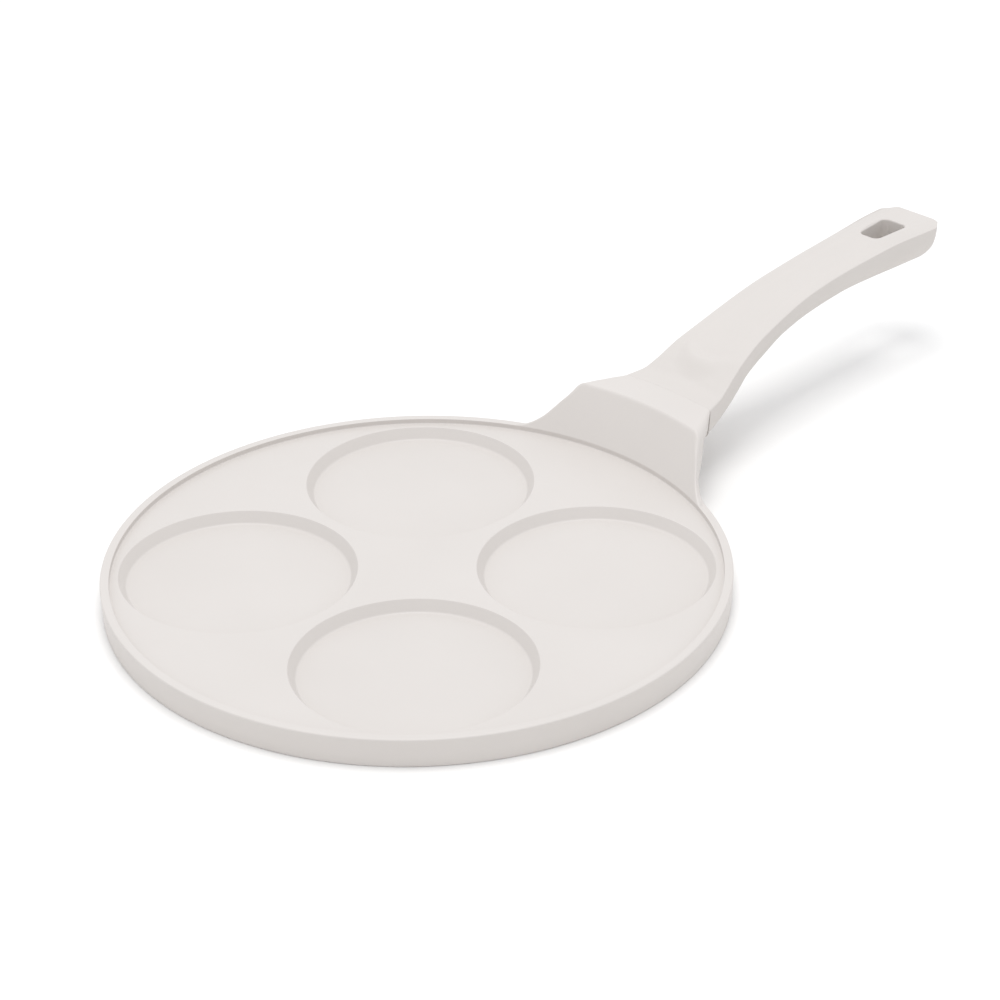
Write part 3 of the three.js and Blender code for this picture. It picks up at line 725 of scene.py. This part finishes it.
def make_disc():
    edge = DISC_EDGE_ROUND
    disc = turned("base_disc", rounded([
        (0, 0),
        (DISC_RADIUS, 0, edge),
        (DISC_RADIUS, DISC_THICKNESS, edge),
        (0, DISC_THICKNESS),
    ], SMALL_ROUND_STEPS), RIM_SEGMENTS)
    holes = perforations(PERFORATION_RADIUS, -CUT_OVERRUN, DISC_THICKNESS + CUT_OVERRUN)
    combine(disc, holes, "DIFFERENCE")
    clean(disc)
    smooth(disc)
    return disc


def hole_outline(grow):
    near = HANG_HOLE_X - HANG_HOLE_LENGTH / 2 - grow
    far = HANG_HOLE_X + HANG_HOLE_LENGTH / 2 + grow
    near_half, far_half = HANG_HOLE_NEAR_HALF_WIDTH + grow, HANG_HOLE_FAR_HALF_WIDTH + grow
    corner = HANG_HOLE_CORNER + grow
    return rounded([(near, -near_half, corner), (far, -far_half, corner),
                    (far, far_half, corner), (near, near_half, corner)])


def hang_hole():
    """Cutter whose ends flare by the hole's round lips, along the handle's top and underside."""
    lip = HANG_HOLE_LIP
    rings = []

    def ring(grow, height_at):
        rings.append([(x, y, height_at(x - HANDLE_START)) for x, y in hole_outline(grow)])

    def under(grow):
        return lambda along: handle_bottom(along) + grow

    def over(grow):
        return lambda along: handle_top(along) - grow

    ring(lip, under(-lip))
    for k in range(ROUND_STEPS + 1):
        turn = math.pi / 2 * k / ROUND_STEPS
        ring(lip * (1 - math.sin(turn)), under(lip * (1 - math.cos(turn))))
    for k in range(ROUND_STEPS, -1, -1):
        turn = math.pi / 2 * k / ROUND_STEPS
        ring(lip * (1 - math.sin(turn)), over(lip * (1 - math.cos(turn))))
    ring(lip, over(-lip))
    return stacked("hang_hole", rings)


def make_handle():
    stations = []
    for i in range(HANDLE_STATIONS + 1):
        share = i / HANDLE_STATIONS
        packed = share - END_PACKING * math.sin(2 * math.pi * share) / (2 * math.pi)
        stations.append(HANDLE_LENGTH * packed)
    handle = skinned("handle_grip", stations, handle_half, on_handle)
    tip, root = SEAM_RADIUS - TONGUE_LENGTH, HANDLE_START + TONGUE_ROOT
    outline = box_outline(tip, root, TONGUE_HALF_WIDTH, TONGUE_CORNER)
    combine(handle, extruded("tongue", outline, POCKET_FLOOR, POCKET_FLOOR + TONGUE_HEIGHT), "UNION")
    combine(handle, hang_hole(), "DIFFERENCE")
    insert_top = POCKET_FLOOR + INSERT_LENGTH
    bore = cylinder("insert_hole", INSERT_RADIUS + INSERT_CLEARANCE, 0, insert_top, (SCREW_X, 0))
    combine(handle, bore, "DIFFERENCE")
    clean(handle)
    smooth(handle)
    return handle


def make_insert():
    """Knurled brass insert with a plain groove round its middle."""
    bottom, top = POCKET_FLOOR, POCKET_FLOOR + INSERT_LENGTH
    middle = (bottom + top) / 2
    bore = SCREW_RADIUS + THREAD_CLEARANCE
    root = INSERT_RADIUS - KNURL_DEPTH
    profile = [(bore, bottom), (root, bottom), (INSERT_RADIUS, bottom + KNURL_DEPTH)]
    profile += [(INSERT_RADIUS, middle - KNURL_GROOVE), (root, middle - KNURL_GROOVE + KNURL_DEPTH)]
    profile += [(root, middle + KNURL_GROOVE - KNURL_DEPTH), (INSERT_RADIUS, middle + KNURL_GROOVE)]
    profile += [(INSERT_RADIUS, top - KNURL_DEPTH), (root, top), (bore, top)]

    def knurl(radius, height, turn):
        if radius < INSERT_RADIUS:
            return radius
        phase = turn * KNURL_TEETH / (2 * math.pi) % 1
        return radius - KNURL_DEPTH * abs(2 * phase - 1)

    insert = turned("brass_insert", profile, KNURL_STEPS * KNURL_TEETH, SCREW_X, knurl)
    smooth(insert, KNURL_SHARP_ANGLE)
    return insert


def make_screw():
    """Pan-head screw with a hexagon socket and a rolled thread."""
    bottom = HEAD_TOP - SCREW_HEAD_HEIGHT
    tip = HEAD_TOP + SCREW_LENGTH
    steps = int(SCREW_LENGTH / THREAD_PITCH * THREAD_STEPS)
    shank = [(SCREW_RADIUS, HEAD_TOP + SCREW_LENGTH * k / steps) for k in range(1, steps)]
    profile = rounded([
        (0, bottom),
        (SCREW_HEAD_RADIUS, bottom, SCREW_HEAD_ROUND),
        (SCREW_HEAD_RADIUS, HEAD_TOP, WASHER_EDGE_ROUND),
        (SCREW_RADIUS, HEAD_TOP),
    ], SCREW_ROUND_STEPS)
    profile += shank + [(SCREW_RADIUS - THREAD_DEPTH, tip), (0, tip)]

    def thread(radius, height, turn):
        if radius != SCREW_RADIUS or height <= HEAD_TOP:
            return radius
        phase = ((height - HEAD_TOP) / THREAD_PITCH - turn / (2 * math.pi)) % 1
        start = ease((height - HEAD_TOP) / THREAD_PITCH)
        return radius - THREAD_DEPTH * start * abs(2 * phase - 1)

    screw = turned("joining_screw", profile, SMALL_SEGMENTS, SCREW_X, thread)
    drive_low, drive_high = bottom - CUT_OVERRUN, bottom + DRIVE_DEPTH
    drive = cylinder("drive", DRIVE_RADIUS, drive_low, drive_high, (SCREW_X, 0), DRIVE_SIDES)
    combine(screw, drive, "DIFFERENCE")
    smooth(screw)
    return screw


def washer(name, inner, outer, bottom, top):
    edge = WASHER_EDGE_ROUND
    corners = [(inner, bottom, edge), (outer, bottom, edge), (outer, top, edge), (inner, top, edge)]
    return turned(name, rounded(corners, SMALL_ROUND_STEPS), SMALL_SEGMENTS, SCREW_X)


def make_spring_washer():
    inner = SCREW_RADIUS + SCREW_CLEARANCE
    ring = washer("split_washer", inner, SPRING_WASHER_RADIUS, HEAD_TOP, SPRING_WASHER_TOP)
    end = SCREW_X + 2 * SPRING_WASHER_RADIUS
    outline = box_outline(SCREW_X, end, SPRING_WASHER_SPLIT / 2, SPLIT_CORNER)
    low, high = HEAD_TOP - CUT_OVERRUN, SPRING_WASHER_TOP + CUT_OVERRUN
    combine(ring, extruded("split", outline, low, high), "DIFFERENCE")
    smooth(ring)
    return ring


def make_flat_washer():
    inner = SCREW_RADIUS + SCREW_CLEARANCE
    ring = washer("plain_washer", inner, FLAT_WASHER_RADIUS, SPRING_WASHER_TOP, SEAT_HEIGHT)
    smooth(ring)
    return ring


# Finishes

class Finish:
    """A material whose colour, roughness and relief come from noise in the object's own space."""

    def __init__(self, name, **sockets):
        self.material = bpy.data.materials.new(name)
        self.material.use_nodes = True
        self.tree = self.material.node_tree
        self.shader = self.tree.nodes["Principled BSDF"]
        for socket, value in sockets.items():
            self.shader.inputs[socket.replace("_", " ")].default_value = value
        self.space = self.tree.nodes.new("ShaderNodeTexCoord").outputs["Object"]

    def noise(self, scale, detail=3):
        node = self.tree.nodes.new("ShaderNodeTexNoise")
        node.inputs["Scale"].default_value = scale
        node.inputs["Detail"].default_value = detail
        self.tree.links.new(self.space, node.inputs["Vector"])
        return node.outputs["Fac"]

    def rings(self, scale, distortion):
        node = self.tree.nodes.new("ShaderNodeTexWave")
        node.wave_type = "RINGS"
        node.rings_direction = "Z"
        node.inputs["Scale"].default_value = scale
        node.inputs["Distortion"].default_value = distortion
        node.inputs["Detail"].default_value = 2
        self.tree.links.new(self.space, node.inputs["Vector"])
        return node.outputs["Fac"]

    def colour(self, source, dark, light):
        ramp = self.tree.nodes.new("ShaderNodeValToRGB")
        ramp.color_ramp.elements[0].position = NOISE_LOW
        ramp.color_ramp.elements[1].position = NOISE_HIGH
        ramp.color_ramp.elements[0].color = (*dark, 1)
        ramp.color_ramp.elements[1].color = (*light, 1)
        self.tree.links.new(source, ramp.inputs["Fac"])
        self.tree.links.new(ramp.outputs["Color"], self.shader.inputs["Base Color"])

    def roughness(self, source, low, high):
        spread = self.tree.nodes.new("ShaderNodeMapRange")
        spread.inputs["From Min"].default_value = NOISE_LOW
        spread.inputs["From Max"].default_value = NOISE_HIGH
        spread.inputs["To Min"].default_value = low
        spread.inputs["To Max"].default_value = high
        self.tree.links.new(source, spread.inputs["Value"])
        self.tree.links.new(spread.outputs["Result"], self.shader.inputs["Roughness"])

    def relief(self, source, strength, depth):
        bump = self.tree.nodes.new("ShaderNodeBump")
        bump.inputs["Strength"].default_value = strength
        bump.inputs["Distance"].default_value = depth * MM
        previous = self.shader.inputs["Normal"].links
        if previous:
            self.tree.links.new(previous[0].from_socket, bump.inputs["Normal"])
        self.tree.links.new(source, bump.inputs["Height"])
        self.tree.links.new(bump.outputs["Normal"], self.shader.inputs["Normal"])

    def turned_grain(self):
        tangent = self.tree.nodes.new("ShaderNodeTangent")
        tangent.direction_type = "RADIAL"
        tangent.axis = "Z"
        self.tree.links.new(tangent.outputs["Tangent"], self.shader.inputs["Tangent"])


def cream_coating():
    """Satin non-stick coating: even cream, a faint orange-peel relief and very fine specks."""
    finish = Finish("cream_coating", Specular_IOR_Level=0.4, Coat_Weight=0.06, Coat_Roughness=0.25)
    finish.colour(finish.noise(18, 4), (0.62, 0.581, 0.549), (0.636, 0.597, 0.565))
    finish.roughness(finish.noise(60, 3), 0.44, 0.52)
    finish.relief(finish.noise(700, 2), 0.12, 0.05)
    finish.relief(finish.noise(3200, 2), 0.1, 0.02)
    return finish.material


def handle_moulding():
    """Matte moulding with the fine eroded texture of its mould."""
    finish = Finish("handle_moulding", Specular_IOR_Level=0.35)
    finish.colour(finish.noise(25, 4), (0.612, 0.574, 0.543), (0.628, 0.59, 0.558))
    finish.roughness(finish.noise(90, 3), 0.52, 0.6)
    finish.relief(finish.noise(2600, 3), 0.14, 0.03)
    return finish.material


def turned_steel():
    """Bare steel with the rings that turning leaves."""
    finish = Finish("turned_steel", Metallic=1, Anisotropic=0.5)
    finish.colour(finish.noise(30, 4), (0.545, 0.545, 0.55), (0.575, 0.575, 0.575))
    finish.roughness(finish.noise(120, 4), 0.3, 0.36)
    finish.relief(finish.rings(260, 0.4), 0.25, 0.03)
    finish.relief(finish.rings(900, 0.8), 0.2, 0.015)
    finish.turned_grain()
    return finish.material


def zinc_plate():
    finish = Finish("zinc_plate", Metallic=1)
    finish.colour(finish.noise(500, 4), (0.52, 0.53, 0.54), (0.64, 0.64, 0.63))
    finish.roughness(finish.noise(700, 3), 0.28, 0.42)
    finish.relief(finish.noise(2500, 2), 0.1, 0.02)
    return finish.material


def machined_brass():
    finish = Finish("machined_brass", Metallic=1)
    finish.colour(finish.noise(400, 4), (0.66, 0.47, 0.19), (0.76, 0.58, 0.28))
    finish.roughness(finish.noise(600, 3), 0.25, 0.4)
    finish.relief(finish.noise(2000, 2), 0.12, 0.02)
    return finish.material


def pale_floor():
    finish = Finish("pale_floor", Roughness=0.9, Specular_IOR_Level=0.1)
    finish.colour(finish.noise(3, 2), (0.885, 0.873, 0.857), (0.895, 0.883, 0.867))
    return finish.material


# Assembly of the pieces on the frame

def fit(obj, material, node):
    obj.data.materials.clear()
    obj.data.materials.append(material)
    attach(obj, "root")
    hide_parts(node)


def build_pieces():
    zinc = zinc_plate()
    fit(make_pan_body(), cream_coating(), "pan_body")
    fit(make_disc(), turned_steel(), "induction_disc")
    fit(make_handle(), handle_moulding(), "handle")
    fit(make_insert(), machined_brass(), "threaded_insert")
    fit(make_screw(), zinc, "handle_screw")
    fit(make_spring_washer(), zinc, "spring_washer")
    fit(make_flat_washer(), zinc, "flat_washer")


# Studio

def build_floor():
    half = FLOOR_HALF_SIZE
    corners = [(-half, -half), (half, -half), (half, half), (-half, half)]
    floor = mesh_object("floor", [(x, y, -FLOOR_GAP) for x, y in corners], [(0, 1, 2, 3)])
    floor.data.materials.append(pale_floor())


def camera_axes():
    azimuth, elevation = CAMERA_AZIMUTH, CAMERA_ELEVATION
    right = Vector((math.cos(azimuth), math.sin(azimuth), 0))
    back = Vector((math.sin(azimuth) * math.cos(elevation), -math.cos(azimuth) * math.cos(elevation),
                   math.sin(elevation)))
    up = back.cross(right)
    c, s = math.cos(CAMERA_ROLL), math.sin(CAMERA_ROLL)
    return right * c + up * s, up * c - right * s, back


def build_camera():
    right, up, back = camera_axes()
    data = bpy.data.cameras.new("camera")
    data.lens = LENS
    data.sensor_width = SENSOR
    data.sensor_fit = "HORIZONTAL"
    data.clip_end = CAMERA_REACH
    camera = bpy.data.objects.new("camera", data)
    place = (Vector(CAMERA_TARGET) + back * CAMERA_DISTANCE) * MM
    axes = Matrix((right, up, back)).transposed()
    camera.matrix_world = Matrix.Translation(place) @ axes.to_4x4()
    bpy.context.scene.collection.objects.link(camera)
    bpy.context.scene.camera = camera


def soft_box(name, place, target, size, watts):
    data = bpy.data.lights.new(name, "AREA")
    data.shape = "RECTANGLE"
    data.size, data.size_y = size
    data.energy = watts
    light = bpy.data.objects.new(name, data)
    light.location = place
    aim = Vector(target) - Vector(place)
    light.rotation_euler = aim.to_track_quat("-Z", "Y").to_euler()
    bpy.context.scene.collection.objects.link(light)


def build_light():
    world = bpy.data.worlds.new("studio")
    world.use_nodes = True
    background = world.node_tree.nodes["Background"]
    background.inputs["Color"].default_value = WORLD_COLOUR
    background.inputs["Strength"].default_value = WORLD_STRENGTH
    scene = bpy.context.scene
    scene.world = world
    scene.view_settings.view_transform = "Standard"
    scene.view_settings.look = "None"
    soft_box("overhead", OVERHEAD_PLACE, OVERHEAD_TARGET, OVERHEAD_SIZE, OVERHEAD_WATTS)


build_pieces()
build_floor()
build_camera()
build_light()
